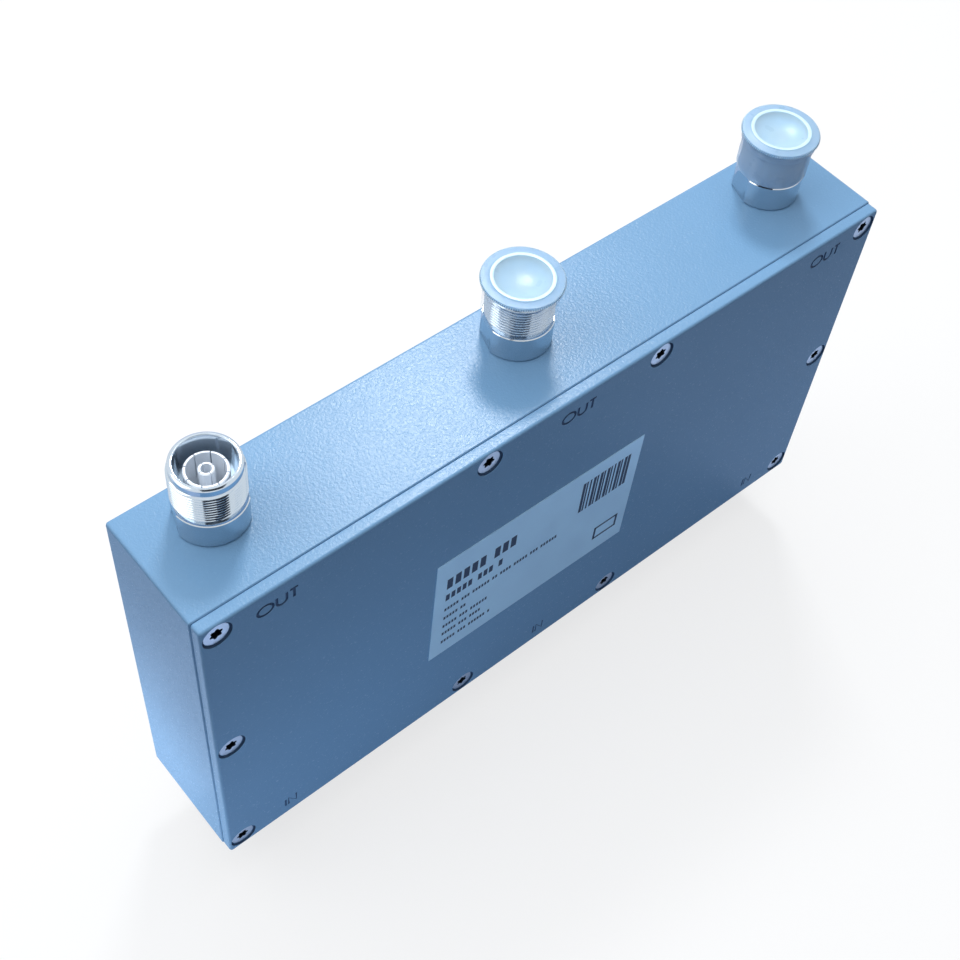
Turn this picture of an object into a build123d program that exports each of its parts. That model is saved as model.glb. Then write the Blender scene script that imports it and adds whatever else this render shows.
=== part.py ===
from build123d import *
from math import radians, sqrt, tan
import os

# Hybrid combiner with three inputs and three outputs, in millimetres.
# X runs along the box, the cover faces -Y, the output connectors point up along +Z.
# The origin is at the middle of the foot of the three input connectors.

# Closed box
box_length = 252.0
box_height = 132.0
box_depth = 42.0
wall_thickness = 6.0
back_thickness = 4.0
edge_radius = 1.0
back_edge_radius = 0.9
rim_edge_chamfer = 0.3

# Cover plate
cover_thickness = 4.0
cover_inset = 0.3
cover_front_radius = 0.9
cover_back_chamfer = 0.3

# Cover screws, M4 countersunk
screw_inset = 5.4
middle_screw_offset = 32.5
screw_radius = 2.0
screw_head_radius = 3.9
screw_length = 12.0
screw_hole_clearance = 0.05
screw_hole_spare_depth = 1.5
cover_hole_clearance = 0.25
head_sink = 0.7
seat_clearance = 0.02
cutter_overrun = 1.0

# Gasket cord in the rim, which passes each screw on its inner side
gasket_width = 2.0
gasket_depth = 1.6
gasket_screw_distance = 5.0
gasket_side_clearance = 0.05
gasket_jog_angle = 45.0

# Ports
port_end_distance = 23.0
port_back_distance = 14.0

# Connector body, heights from the face that it is screwed to
base_radius = 10.4
base_height = 8.9
base_chamfer = 0.4
wrench_flat_width = 19.0
wrench_flat_angle = 161.0
thread_radius = 10.0
thread_length = 10.0
thread_relief_radius = 9.3
thread_relief_length = 1.3
pilot_radius = 9.4
rim_height = 22.5
rim_chamfer = 0.4
socket_radius = 8.1
socket_depth = 11.5
spigot_radius = 8.0
spigot_clearance = 0.05

# Outer contact, a slotted spring sleeve
sleeve_radius = 5.9
sleeve_wall = 0.75
sleeve_tip_height = 19.1
sleeve_foot_height = 3.0
sleeve_flange_radius = 6.6
sleeve_flange_thickness = 2.0
sleeve_slot_count = 8
sleeve_slot_width = 0.35
sleeve_slot_length = 9.0
sleeve_lead_in = 0.3
contact_clearance = 0.03

# Centre contact
pin_radius = 2.15
pin_tip_height = 19.4
pin_socket_radius = 1.45
pin_socket_depth = 8.0
pin_slot_count = 4
pin_slot_width = 0.25
pin_slot_length = 5.0
pin_lead_in = 0.3
tail_radius = 1.5
tail_reach = 8.0
tail_slot_depth = 5.0

# Bead and seal ring
bead_recess = 1.0
seal_width = 1.0
seal_height = 1.0
seal_side_clearance = 0.03

# Push-on dust cap, heights from the same face
cap_foot_height = 9.6
cap_top_height = 23.3
cap_flange_radius = 12.0
cap_flange_thickness = 1.1
cap_collar_radius = 11.3
cap_collar_length = 2.7
cap_skirt_wall = 0.75
cap_clearance = 0.08
cap_lip_radius = 9.3
cap_lip_height = 0.25
cap_plug_clearance = 0.15
cap_plug_wall = 0.9
cap_dish_depth = 2.9
cap_dish_taper = 0.8
cap_seat_clearance = 0.05

# Strip conductors
strip_thickness = 1.5
strip_width = 12.0
strip_gap = 2.5
strip_end_width = 9.0
tab_width = 2.6
tab_clearance = 0.05
tab_end_gap = 0.2
tab_lead = 1.0
joggle_length = 6.0
joggle_lead = 6.0
coupler_spacing = 30.0
link_offset = 16.0
mitre_cut = 4.2
coupler_end_margin = 9.0
coupler_step_length = 20.0
coupler_step_depth = 3.0

# Plastic combs at the coupled lengths, and posts under the single strips
comb_width = 8.0
comb_margin = 3.0
comb_clearance = 0.05
comb_end_distance = 14.0
post_radius = 3.5
post_pin_radius = 1.5
post_pin_length = 2.5
post_hole_clearance = 0.05

# Couplers that each line passes, and ports that wear a cap
coupled_at = {1: (1, 2), 2: (1, 3), 3: (2, 3)}
capped_ports = ("out_2", "out_3")

# Partition ribs in the tub
rib_thickness = 4.0
rib_end_clearance = 8.0
right_rib_offset = 22.5

# Tapped holes in the back for a bracket, M4
mount_end_distance = 31.0
mount_edge_distance = 28.0
mount_hole_radius = 1.65
mount_hole_depth = 7.0
mount_boss_radius = 5.0
mount_boss_height = 5.0

# Label film on the cover
label_length = 82.2
label_height = 52.4
label_thickness = 0.2
label_offset_x = -7.8
label_offset_z = -2.9
label_turn = -0.6

# Places worked out from the sizes above
box_bottom = rim_height
box_top = box_bottom + box_height
box_middle = box_bottom + box_height / 2
front_y = -box_depth / 2
back_y = box_depth / 2
rim_y = front_y + cover_thickness
floor_y = back_y - back_thickness
port_y = back_y - port_back_distance
port_pitch = box_length / 2 - port_end_distance
front_layer_y = port_y - strip_thickness - strip_gap
port_places = (-port_pitch, 0.0, port_pitch)
tail_length = wall_thickness + tail_reach
coupler_heights = (box_middle - coupler_spacing, box_middle, box_middle + coupler_spacing)


def sign(value):
    """1, -1 or 0, as the value is above, below or at zero."""
    return 1 if value > 0 else -1 if value < 0 else 0


def front_plane(y):
    """Plane across the box at the depth y: sketches read as seen from the cover, and extrude towards it."""
    return Plane(origin=(0, y, box_middle), x_dir=(1, 0, 0), z_dir=(0, -1, 0))


def slab(sketch, y, thickness):
    """Sketch seen from the cover, with its back at y and this thickness towards the cover."""
    return extrude(front_plane(y) * sketch, thickness)


def cylinder_along_y(radius, y_back, length, x, z):
    return slab(Pos(x, z - box_middle) * Circle(radius), y_back, length)


def screw_places():
    side = box_length / 2 - screw_inset
    high = box_height / 2 - screw_inset
    corners = [(sx * side, sz * high) for sx in (-1, 1) for sz in (-1, 1)]
    middles = [(sx * middle_screw_offset, sz * high) for sx in (-1, 1) for sz in (-1, 1)]
    ends = [(sx * side, 0.0) for sx in (-1, 1)]
    return corners + middles + ends


def seal_outline(grow):
    """Area inside the gasket's centre line, grown by this much, with a sloped jog inwards past each screw."""
    edge = wall_thickness / 2 - grow
    distance = gasket_screw_distance - grow
    outline = Rectangle(box_length - 2 * edge, box_height - 2 * edge)
    outline = chamfer(outline.vertices(), 2 * (screw_inset - edge) + distance * sqrt(2))
    jog_depth = screw_inset - edge + distance
    jog_width = 2 * (distance * tan(radians(gasket_jog_angle / 2)) + jog_depth)
    jog = Trapezoid(jog_width, jog_depth, gasket_jog_angle, align=(Align.CENTER, Align.MIN))
    for x in (-middle_screw_offset, middle_screw_offset):
        outline -= Pos(x, edge - box_height / 2) * jog
        outline -= Pos(x, box_height / 2 - edge) * Rot(0, 0, 180) * jog
    outline -= Pos(edge - box_length / 2, 0) * Rot(0, 0, -90) * jog
    return outline - Pos(box_length / 2 - edge, 0) * Rot(0, 0, 90) * jog


def mount_places():
    half_x = box_length / 2 - mount_end_distance
    half_z = box_height / 2 - mount_edge_distance
    return [(sx * half_x, box_middle + sz * half_z) for sx in (-1, 1) for sz in (-1, 1)]


def rib_spans():
    """Left end, right end and height of each partition rib."""
    clear = strip_width / 2 + rib_end_clearance
    spans = [(-port_pitch + clear, -clear, coupler_heights[1])]
    for side in (-1, 1):
        height = coupler_heights[1] + side * right_rib_offset
        spans.append((link_offset + clear, port_pitch - clear, height))
    return spans


def housing():
    tub_depth = back_y - rim_y
    tub = slab(RectangleRounded(box_length, box_height, edge_radius), back_y, tub_depth)
    tub = fillet(tub.faces().sort_by(Axis.Y)[-1].edges(), back_edge_radius)
    tub = chamfer(tub.faces().sort_by(Axis.Y)[0].edges(), rim_edge_chamfer)
    tub -= slab(seal_outline(-wall_thickness / 2), floor_y, floor_y - rim_y)
    for left, right, height in rib_spans():
        rib = Rectangle(right - left, rib_thickness)
        place = Pos((left + right) / 2, height - box_middle)
        tub += slab(place * rib, floor_y, floor_y - rim_y)
    groove = seal_outline(gasket_width / 2) - seal_outline(-gasket_width / 2)
    tub -= slab(groove, rim_y + gasket_depth, gasket_depth)
    hole_depth = screw_length + head_sink - cover_thickness + screw_hole_spare_depth
    for x, z in screw_places():
        hole_radius = screw_radius + screw_hole_clearance
        tub -= cylinder_along_y(hole_radius, rim_y + hole_depth, hole_depth, x, z + box_middle)
    for x, z in mount_places():
        tub += cylinder_along_y(mount_boss_radius, floor_y, mount_boss_height, x, z)
        tub -= cylinder_along_y(mount_hole_radius, back_y, mount_hole_depth, x, z)
    for x in port_places:
        hole = Cylinder(spigot_radius + spigot_clearance, box_height)
        tub -= Pos(x, port_y, box_middle) * hole
    return tub


def turned(*points):
    """Solid of revolution about Z through these (radius, height) points."""
    return revolve(Plane.XZ * make_face(Polyline(*points, close=True)), Axis.Z)


def countersunk_cutter():
    """Clearance hole through the cover with a 90 degree mouth, from the cover's face at height 0."""
    hole_radius = screw_radius + cover_hole_clearance
    mouth_radius = screw_head_radius + head_sink
    foot = -cover_thickness - cutter_overrun
    return turned(
        (0, cutter_overrun),
        (mouth_radius + cutter_overrun, cutter_overrun),
        (hole_radius, hole_radius - mouth_radius),
        (hole_radius, foot),
        (0, foot),
    )


def cover():
    length = box_length - 2 * cover_inset
    height = box_height - 2 * cover_inset
    plate = slab(RectangleRounded(length, height, edge_radius), rim_y, cover_thickness)
    plate = fillet(plate.faces().sort_by(Axis.Y)[0].edges(), cover_front_radius)
    plate = chamfer(plate.faces().sort_by(Axis.Y)[-1].edges(), cover_back_chamfer)
    for x, z in screw_places():
        plate -= front_plane(front_y) * Pos(x, z) * countersunk_cutter()
    return plate


def cover_gasket():
    side = gasket_width / 2 - gasket_side_clearance
    ring = seal_outline(side) - seal_outline(-side)
    return slab(ring, rim_y + gasket_depth, gasket_depth)


def cover_screws():
    head_face = seat_clearance - head_sink
    neck = head_face - (screw_head_radius - screw_radius)
    tip = head_face - screw_length
    screw = turned(
        (0, head_face),
        (screw_head_radius, head_face),
        (screw_radius, neck),
        (screw_radius, tip),
        (0, tip),
    )
    return [front_plane(front_y) * Pos(x, z) * screw for x, z in screw_places()]


def label():
    place = Pos(label_offset_x, label_offset_z) * Rot(0, 0, label_turn)
    return slab(place * Rectangle(label_length, label_height), front_y, label_thickness)


def radial_slots(count, width, reach, low, high):
    """Saw cuts from the axis out to this reach, evenly spaced from the X axis."""
    cut = Pos(reach / 2, 0, (low + high) / 2) * Box(reach, width, high - low)
    return PolarLocations(0, count) * cut


def connector_body():
    """Turned body: threaded spigot below the mounting face, base with two wrench flats, coupling thread."""
    thread_foot = base_height + thread_relief_length
    thread_top = thread_foot + thread_length
    thread_chamfer = thread_radius - pilot_radius
    sleeve_seat = sleeve_foot_height + sleeve_flange_thickness
    sleeve_bore = sleeve_radius + contact_clearance
    foot_bore = sleeve_flange_radius + contact_clearance
    socket_floor = rim_height - socket_depth
    seal_radius = spigot_radius + seal_width
    body = turned(
        (foot_bore, -wall_thickness),
        (spigot_radius, -wall_thickness),
        (spigot_radius, seal_height),
        (seal_radius, seal_height),
        (seal_radius, 0),
        (base_radius, 0),
        (base_radius, base_height - base_chamfer),
        (base_radius - base_chamfer, base_height),
        (thread_relief_radius, base_height),
        (thread_relief_radius, thread_foot),
        (thread_radius, thread_foot + thread_radius - thread_relief_radius),
        (thread_radius, thread_top - thread_chamfer),
        (pilot_radius, thread_top),
        (pilot_radius, rim_height - rim_chamfer),
        (pilot_radius - rim_chamfer, rim_height),
        (socket_radius, rim_height),
        (socket_radius, socket_floor),
        (sleeve_bore, socket_floor),
        (sleeve_bore, sleeve_seat),
        (foot_bore, sleeve_seat),
    )
    for side in (-1, 1):
        place = Pos(side * (wrench_flat_width + base_radius) / 2, 0, base_height / 2)
        body -= Rot(0, 0, wrench_flat_angle) * place * Box(base_radius, 2 * base_radius, base_height)
    return body


def outer_contact():
    inner = sleeve_radius - sleeve_wall
    sleeve = turned(
        (inner, sleeve_foot_height),
        (sleeve_flange_radius, sleeve_foot_height),
        (sleeve_flange_radius, sleeve_foot_height + sleeve_flange_thickness),
        (sleeve_radius, sleeve_foot_height + sleeve_flange_thickness),
        (sleeve_radius, sleeve_tip_height - sleeve_lead_in),
        (sleeve_radius - sleeve_lead_in, sleeve_tip_height),
        (inner, sleeve_tip_height),
    )
    low = sleeve_tip_height - sleeve_slot_length
    high = sleeve_tip_height + cutter_overrun
    reach = sleeve_radius + cutter_overrun
    return sleeve - radial_slots(sleeve_slot_count, sleeve_slot_width, reach, low, high)


def center_contact():
    pin = turned(
        (0, -tail_length),
        (tail_radius, -tail_length),
        (tail_radius, sleeve_foot_height),
        (pin_radius, sleeve_foot_height),
        (pin_radius, pin_tip_height - pin_lead_in),
        (pin_radius - pin_lead_in, pin_tip_height),
        (pin_socket_radius, pin_tip_height),
        (pin_socket_radius, pin_tip_height - pin_socket_depth),
        (0, pin_tip_height - pin_socket_depth),
    )
    low = pin_tip_height - pin_slot_length
    high = pin_tip_height + cutter_overrun
    pin -= radial_slots(pin_slot_count, pin_slot_width, pin_radius + cutter_overrun, low, high)
    tail_slot = Box(2 * (tail_radius + cutter_overrun), strip_thickness + 2 * tab_clearance, 2 * tail_slot_depth)
    return pin - Pos(0, 0, -tail_length) * tail_slot


def insulator():
    outer = sleeve_flange_radius
    bore = tail_radius + contact_clearance
    foot = bead_recess - wall_thickness
    return turned(
        (bore, foot),
        (outer, foot),
        (outer, sleeve_foot_height),
        (bore, sleeve_foot_height),
    )


def seal():
    inner = spigot_radius + seal_side_clearance
    outer = spigot_radius + seal_width - seal_side_clearance
    return turned((inner, 0), (outer, 0), (outer, seal_height), (inner, seal_height))


def dust_cap():
    """Moulded cap: skirt over the thread, flange, raised lip and a dished plug in the socket."""
    skirt_inner = thread_radius + cap_clearance
    skirt_outer = skirt_inner + cap_skirt_wall
    flange_foot = cap_top_height - cap_flange_thickness
    rim_seat = rim_height + cap_seat_clearance
    plug_radius = socket_radius - cap_plug_clearance
    dish_floor = cap_top_height - cap_dish_depth
    dish_radius = plug_radius - cap_plug_wall
    plug_foot = dish_floor - cap_plug_wall
    lip_inner = dish_radius + cap_dish_taper
    return turned(
        (0, plug_foot),
        (plug_radius - cap_plug_wall, plug_foot),
        (plug_radius, plug_foot + cap_plug_wall),
        (plug_radius, rim_seat),
        (skirt_inner, rim_seat),
        (skirt_inner, cap_foot_height),
        (skirt_outer, cap_foot_height),
        (skirt_outer, flange_foot - cap_collar_length),
        (cap_collar_radius, flange_foot - cap_collar_length),
        (cap_collar_radius, flange_foot),
        (cap_flange_radius, flange_foot),
        (cap_flange_radius, cap_top_height),
        (cap_lip_radius, cap_top_height),
        (cap_lip_radius, cap_top_height + cap_lip_height),
        (lip_inner, cap_top_height + cap_lip_height),
        (dish_radius, dish_floor),
        (0, dish_floor),
    )


def flat_strip(points, layer_y):
    """Strip of even width along these (x, z) points, square to each other, with mitred outer corners."""
    half = strip_width / 2
    strip = None
    for (x0, z0), (x1, z1) in zip(points, points[1:]):
        first = (x0, z0) == points[0]
        last = (x1, z1) == points[-1]
        length = abs(x1 - x0) + abs(z1 - z0)
        along_x = sign(x1 - x0)
        along_z = sign(z1 - z0)
        start = 0 if first else -half
        end = length if last else length + half
        middle_x = x0 + along_x * (start + end) / 2
        middle_z = z0 + along_z * (start + end) / 2
        size_x = end - start if along_x else strip_width
        size_z = end - start if along_z else strip_width
        leg = Pos(middle_x, middle_z - box_middle) * Rectangle(size_x, size_z)
        strip = leg if strip is None else strip + leg
    for (x0, z0), (x1, z1), (x2, z2) in zip(points, points[1:], points[2:]):
        outer_x = x1 + half * sign(x1 - x0) - half * sign(x2 - x1)
        outer_z = z1 + half * sign(z1 - z0) - half * sign(z2 - z1)
        corner = Pos(outer_x, outer_z - box_middle) * Rot(0, 0, 45)
        strip -= corner * Rectangle(2 * mitre_cut, 2 * mitre_cut)
    return slab(strip, layer_y + strip_thickness / 2, strip_thickness)


def joggle(x, z_start, y_start, z_end, y_end):
    """Sloping step of a strip from one layer to the other, over joggle_length of its height."""
    half = strip_thickness / 2
    outline = Polyline(
        (y_start - half, z_start),
        (y_start + half, z_start),
        (y_end + half, z_end),
        (y_end - half, z_end),
        close=True,
    )
    side = Plane(origin=(x - strip_width / 2, 0, 0), x_dir=(0, 1, 0), z_dir=(1, 0, 0))
    return extrude(side * make_face(outline), strip_width)


def port_end(x, pin_end, direction, run_start):
    """End of a strip at a port: a full-width neck, then a tab that seats in the slotted pin tail."""
    shoulder = pin_end + direction * tab_lead
    tip = pin_end - direction * (tail_slot_depth - tab_end_gap)
    neck = Box(strip_end_width, strip_thickness, abs(run_start - shoulder))
    tab = Box(tab_width, strip_thickness, abs(shoulder - tip))
    return Pos(x, port_y, (run_start + shoulder) / 2) * neck + Pos(x, port_y, (shoulder + tip) / 2) * tab


def lower_run_start():
    return box_bottom + tail_length + joggle_lead


def upper_run_start():
    return box_top - tail_length - joggle_lead


def lower_end(x):
    return port_end(x, box_bottom + tail_length, 1, lower_run_start())


def upper_end(x):
    return port_end(x, box_top - tail_length, -1, upper_run_start())


def post_places(line):
    """Points (x, z, layer) of a line that a post carries."""
    low, middle, high = coupler_heights
    quarter = coupler_spacing / 2
    places = {
        1: [(link_offset, low + quarter, front_layer_y), (port_pitch, high - quarter, front_layer_y)],
        2: [(-port_pitch, middle, port_y)],
        3: [(port_pitch, low + quarter, port_y), (link_offset, high - quarter / 2, front_layer_y)],
    }
    return places[line]


def layer_of(line, coupler):
    """Depth of a line at a coupler: the port layer at the back, or the layer in front of it."""
    at_front = (line == 1) or (line == 3 and coupler == 3)
    return front_layer_y if at_front else port_y


def coupler_steps(side, height, left, right):
    """Notches in the upper edge (side 1) or the lower edge (side -1) at both ends of a coupled length."""
    notches = None
    for x in (left + coupler_step_length / 2, right - coupler_step_length / 2):
        z = height + side * (strip_width - coupler_step_depth) / 2
        cut = Pos(x, port_y, z) * Box(coupler_step_length, box_depth, coupler_step_depth)
        notches = cut if notches is None else notches + cut
    return notches


def coupler_ends(number):
    """Left and right end of a coupled length."""
    if number == 2:
        return link_offset + coupler_end_margin, port_pitch - coupler_end_margin
    return -port_pitch + coupler_end_margin, -coupler_end_margin


def coupled_line(number):
    """One strip from an input to an output: it changes layer where it must run over another strip."""
    low, middle, high = coupler_heights
    left, centre, right = port_places
    link = link_offset
    start = lower_run_start()
    end = upper_run_start()
    if number == 1:
        line = lower_end(left) + joggle(left, start, port_y, start + joggle_length, front_layer_y)
        points = [(left, start + joggle_length), (left, low), (link, low), (link, middle)]
        points += [(right, middle), (right, end - joggle_length)]
        line += flat_strip(points, front_layer_y)
        line += joggle(right, end - joggle_length, front_layer_y, end, port_y) + upper_end(right)
    elif number == 2:
        points = [(centre, start), (centre, low), (left, low), (left, high), (centre, high), (centre, end)]
        line = lower_end(centre) + flat_strip(points, port_y) + upper_end(centre)
    else:
        step_foot = (middle + high - joggle_length) / 2
        step_top = step_foot + joggle_length
        points = [(right, start), (right, middle), (link, middle), (link, step_foot)]
        line = lower_end(right) + flat_strip(points, port_y)
        line += joggle(link, step_foot, port_y, step_top, front_layer_y)
        points = [(link, step_top), (link, high), (left, high), (left, end - joggle_length)]
        line += flat_strip(points, front_layer_y)
        line += joggle(left, end - joggle_length, front_layer_y, end, port_y) + upper_end(left)
    for coupler in coupled_at[number]:
        notch_left, notch_right = coupler_ends(coupler)
        side = 1 if layer_of(number, coupler) == port_y else -1
        line -= coupler_steps(side, coupler_heights[coupler - 1], notch_left, notch_right)
    for x, z, layer_y in post_places(number):
        hole_radius = post_pin_radius + post_hole_clearance
        line -= cylinder_along_y(hole_radius, layer_y + strip_thickness, 2 * strip_thickness, x, z)
    return line


def spacers(coupler):
    """Two combs on the tub's floor, open upwards, that hold the two strips apart."""
    left, right = coupler_ends(coupler)
    height = coupler_heights[coupler - 1]
    front = front_layer_y - strip_thickness / 2 - comb_margin
    half = strip_width / 2
    comb = Pos(0, (front + floor_y) / 2, height) * Box(
        comb_width, floor_y - front, strip_width + 2 * comb_margin
    )
    slot_foot = height - half - comb_clearance
    slot_top = height + half + comb_margin
    for layer_y in (front_layer_y, port_y):
        slot = Box(comb_width, strip_thickness + 2 * comb_clearance, slot_top - slot_foot)
        comb -= Pos(0, layer_y, (slot_foot + slot_top) / 2) * slot
    return [Pos(x, 0, 0) * comb for x in (left + comb_end_distance, right - comb_end_distance)]


def line_posts():
    posts = []
    for line in (1, 2, 3):
        for x, z, layer_y in post_places(line):
            seat_y = layer_y + strip_thickness / 2
            column = cylinder_along_y(post_radius, floor_y, floor_y - seat_y, x, z)
            posts.append(column + cylinder_along_y(post_pin_radius, seat_y, post_pin_length, x, z))
    return posts


def save(name, shape):
    solids = shape if isinstance(shape, list) else [shape]
    export_step(Compound(children=solids) if len(solids) > 1 else solids[0], f"parts/{name}.step")


os.makedirs("parts", exist_ok=True)
save("housing", housing())
save("cover", cover())
save("cover_gasket", cover_gasket())
save("cover_screws", cover_screws())
save("label", label())
for number in (1, 2, 3):
    x = port_places[number - 1]
    outlet = Pos(x, port_y, box_top)
    inlet = Pos(x, port_y, box_bottom) * Rot(180, 0, 0)
    for port, place in ((f"out_{number}", outlet), (f"in_{number}", inlet)):
        save(f"{port}_connector_body", place * connector_body())
        save(f"{port}_outer_contact", place * outer_contact())
        save(f"{port}_center_contact", place * center_contact())
        save(f"{port}_insulator", place * insulator())
        save(f"{port}_seal", place * seal())
        if port in capped_ports:
            save(f"{port}_dust_cap", place * dust_cap())
    save(f"coupled_line_{number}", coupled_line(number))
    save(f"coupler_{number}_spacers", spacers(number))
save("line_posts", line_posts())
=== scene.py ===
"""Finish of an RF hybrid combiner: textured paint, plated coaxial ports, dust caps, screws and marks."""

import math

import bmesh
import bpy
from mathutils import Matrix, Vector


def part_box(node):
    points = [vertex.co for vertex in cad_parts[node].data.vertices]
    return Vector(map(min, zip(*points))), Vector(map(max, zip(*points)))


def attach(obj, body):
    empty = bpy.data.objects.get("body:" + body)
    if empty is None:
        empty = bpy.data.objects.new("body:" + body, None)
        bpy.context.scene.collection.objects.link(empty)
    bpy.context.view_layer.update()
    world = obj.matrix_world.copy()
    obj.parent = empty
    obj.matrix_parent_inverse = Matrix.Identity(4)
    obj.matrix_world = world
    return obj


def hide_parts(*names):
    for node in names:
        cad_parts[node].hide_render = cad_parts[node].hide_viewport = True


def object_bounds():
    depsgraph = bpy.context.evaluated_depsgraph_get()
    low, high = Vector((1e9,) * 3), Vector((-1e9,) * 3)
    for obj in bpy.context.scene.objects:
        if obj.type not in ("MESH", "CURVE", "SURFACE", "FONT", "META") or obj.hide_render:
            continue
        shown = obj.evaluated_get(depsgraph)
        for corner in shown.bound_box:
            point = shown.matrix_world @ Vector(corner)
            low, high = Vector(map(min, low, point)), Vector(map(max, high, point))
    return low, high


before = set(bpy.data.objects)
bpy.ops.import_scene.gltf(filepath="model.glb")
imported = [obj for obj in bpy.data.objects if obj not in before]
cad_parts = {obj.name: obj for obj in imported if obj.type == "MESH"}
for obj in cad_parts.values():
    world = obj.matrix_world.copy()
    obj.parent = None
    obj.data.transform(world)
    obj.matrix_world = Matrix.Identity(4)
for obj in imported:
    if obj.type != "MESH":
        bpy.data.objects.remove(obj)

bl_info = {
    "name": "RF Hybrid Combiner",
    "version": (1, 0, 0),
    "blender": (4, 5, 0),
    "location": "3D View > Sidebar > Combiner",
    "description": "Dresses the combiner box with paint, threads, contacts, dust caps, screws and print",
    "category": "Object",
}

MM = 0.001
MERGE_DISTANCE = 0.001 * MM
POLE_RADIUS = 0.02 * MM
CAD_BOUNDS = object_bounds()
OUTPUTS = ("out_1", "out_2", "out_3")
INPUTS = ("in_1", "in_2", "in_3")
BOX_LOW, BOX_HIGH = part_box("housing")
COVER_LOW, COVER_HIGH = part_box("cover")
FRONT_Y = COVER_LOW.y
LABEL_LENGTH, LABEL_HEIGHT = 82.2 * MM, 52.4 * MM
LABEL_TURN = math.radians(0.6)
THICK, SKIRT, HIGHLIGHTED, LIT_DISH = range(4)


def linear_colour(code):
    """An sRGB hex value, such as #86A6C9, as linear red, green, blue and alpha."""
    channels = [int(code[i:i + 2], 16) / 255 for i in (1, 3, 5)]
    linear = [c / 12.92 if c <= 0.04045 else ((c + 0.055) / 1.055) ** 2.4 for c in channels]
    return (*linear, 1.0)


def length_property(name, description, millimetres):
    """A length that is given in millimetres and kept in metres."""
    return bpy.props.FloatProperty(
        name=name, description=description, default=millimetres * MM, min=0.0, unit="LENGTH"
    )


def colour_property(name, description, code):
    """A colour that is given as an sRGB hex value and kept linear."""
    return bpy.props.FloatVectorProperty(
        name=name, description=description, default=linear_colour(code), size=4, min=0.0, max=1.0,
        subtype="COLOR",
    )


class CombinerSizes(bpy.types.PropertyGroup):
    """Sizes of the details that the frame leaves plain."""

    thread_pitch: length_property("Thread pitch", "Distance from one thread crest to the next", 1.0)
    thread_depth: length_property("Thread depth", "Depth of the coupling thread", 0.61)
    base_height: length_property("Base height", "Height of the connector base with its wrench flats", 8.9)
    wrench_width: length_property("Wrench width", "Distance across the two flats of the base", 19.0)
    wrench_angle: bpy.props.FloatProperty(
        name="Wrench angle", description="Direction that the first flat faces, from the box's length",
        default=math.radians(161), subtype="ANGLE",
    )
    relief_radius: length_property("Relief radius", "Radius of the groove below the thread", 9.3)
    relief_height: length_property("Relief height", "Height of the groove below the thread", 0.7)
    thread_radius: length_property("Thread radius", "Radius of the coupling thread's crests", 10.0)
    thread_length: length_property("Thread length", "Length of the coupling thread", 10.6)
    pilot_radius: length_property("Pilot radius", "Radius of the plain rim above the thread", 9.4)
    socket_radius: length_property("Socket radius", "Radius of the open socket", 8.1)
    socket_depth: length_property("Socket depth", "Depth of the open socket", 11.5)
    spigot_radius: length_property("Spigot radius", "Radius of the part that screws into the wall", 8.0)
    screw_head_radius: length_property("Screw head radius", "Radius of a cover screw's head", 3.9)
    screw_radius: length_property("Screw radius", "Radius of a cover screw's shank", 2.0)
    recess_depth: length_property("Recess depth", "Depth of the six-lobed recess in a screw head", 1.9)
    recess_outer: length_property("Recess outer radius", "Radius to the tips of the six lobes", 1.95)
    recess_inner: length_property("Recess inner radius", "Radius between the six lobes", 1.38)
    stroke_radius: length_property("Stroke radius", "Radius of the cutter that engraves the marks", 0.43)
    stroke_depth: length_property("Stroke depth", "Depth of the engraved marks", 0.42)
    out_height: length_property("Out mark height", "Height of the output marks' centre line", 4.0)
    in_height: length_property("In mark height", "Height of the input marks' centre line", 4.25)
    print_thickness: length_property("Print thickness", "Thickness of the ink on the label", 0.02)
    cap_teeth: bpy.props.IntProperty(
        name="Cap teeth", description="Moulded grip teeth round a dust cap's flange", default=112, min=8
    )
    tooth_depth: length_property("Tooth depth", "Depth of a grip tooth of the dust cap", 0.45)


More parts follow.
